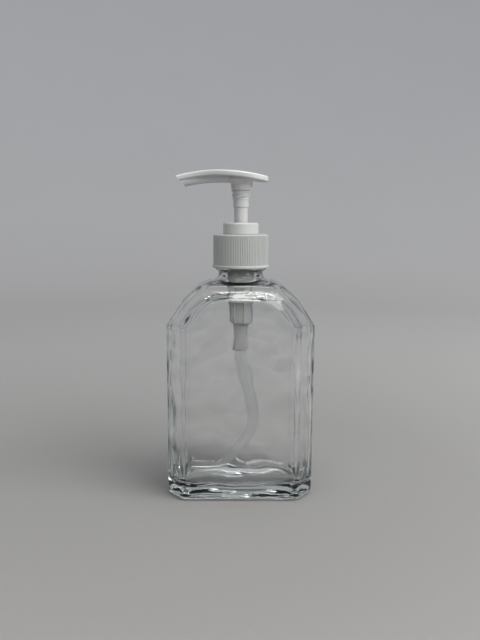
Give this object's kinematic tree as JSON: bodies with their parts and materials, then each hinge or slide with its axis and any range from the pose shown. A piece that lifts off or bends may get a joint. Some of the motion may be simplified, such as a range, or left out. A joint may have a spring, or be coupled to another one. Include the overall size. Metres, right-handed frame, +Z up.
{
  "type": "soap pump dispenser",
  "caption": "Clear glass flask bottle with an arched shoulder, closed by a ribbed screw closure that holds a sprung lotion pump with a long-nozzle head and a bent dip tube.",
  "frame": {"origin": "centre of the bottle's base, on the plane it stands on", "axes": "+Z up along the pump's axis; the nozzle points towards -X and the front panel faces -Y"},
  "size_m": [0.0824, 0.048, 0.1826],
  "materials": {
    "glass": "clear polished",
    "closure_plastic": "fine ribbed satin",
    "collar_plastic": "satin",
    "head_plastic": "satin",
    "stem_plastic": "smooth",
    "housing_plastic": "smooth moulded",
    "natural_plastic": "natural, translucent",
    "tube_plastic": "translucent extruded",
    "foam": "closed-cell foam disc",
    "steel": "bright drawn"
  },
  "bodies": {
    "bottle": {"bottle": "glass"},
    "pump_unit": {"pump_housing": "housing_plastic", "neck_gasket": "foam", "locking_collar": "collar_plastic", "dip_tube": "tube_plastic", "ball_cage": "natural_plastic", "return_spring": "steel"},
    "closure": {"closure": "closure_plastic"},
    "plunger": {"piston_rod": "housing_plastic"},
    "head": {"stem": "stem_plastic", "actuator_head": "head_plastic"},
    "piston": {"piston": "natural_plastic"},
    "inlet_ball": {"inlet_ball": "steel"}
  },
  "joints": [
    {"name": "pump_lift", "type": "slide", "parent": "bottle", "child": "pump_unit", "axis": [0, 0, 1], "range_m": [0, 0.00636]},
    {"name": "closure_turn", "type": "hinge", "parent": "pump_unit", "child": "closure", "pos_m": [0, 0, 0.138], "axis": [0, 0, 1], "range_deg": [0, 540]},
    {"name": "pump_stroke", "type": "slide", "parent": "pump_unit", "child": "plunger", "axis": [0, 0, 1], "range_m": [-0.013, 0], "stiffness_N_per_m": 450, "springref_m": 0.015, "deforming": ["return_spring"]},
    {"name": "head_swivel", "type": "hinge", "parent": "plunger", "child": "head", "pos_m": [0, 0, 0.15], "axis": [0, 0, 1], "continuous": true},
    {"name": "piston_shift", "type": "slide", "parent": "plunger", "child": "piston", "axis": [0, 0, 1], "range_m": [0, 0.00115]},
    {"name": "inlet_ball_lift", "type": "slide", "parent": "pump_unit", "child": "inlet_ball", "axis": [0, 0, 1], "range_m": [0, 0.0015]}
  ],
  "couplings": [
    {"joint": "pump_lift", "follows": "closure_turn", "m_per_rad": 0.00067375}
  ]
}
